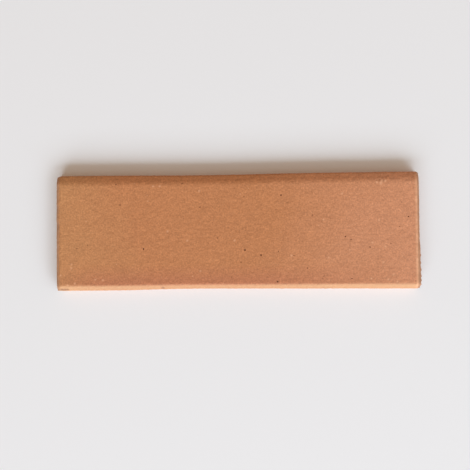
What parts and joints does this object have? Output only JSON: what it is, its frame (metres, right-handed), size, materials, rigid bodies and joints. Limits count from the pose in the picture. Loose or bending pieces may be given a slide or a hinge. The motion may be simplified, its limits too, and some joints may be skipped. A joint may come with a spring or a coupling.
{
  "type": "clinker skirting tile",
  "caption": "Unglazed fired-clay skirting strip with a bevelled top long edge, a rounded floor edge, wire-cut ends and a grooved back, bonded along the foot of a wall.",
  "frame": {"origin": "middle of the tile's back, on the surface that the tile lies on", "axes": "+X along the tile's length, +Y towards the bevelled top edge, +Z out of the face"},
  "size_m": [0.25, 0.08, 0.01],
  "materials": {
    "fired_clay": "matte"
  },
  "bodies": {
    "root": {"skirting_tile": "fired_clay"}
  },
  "joints": []
}
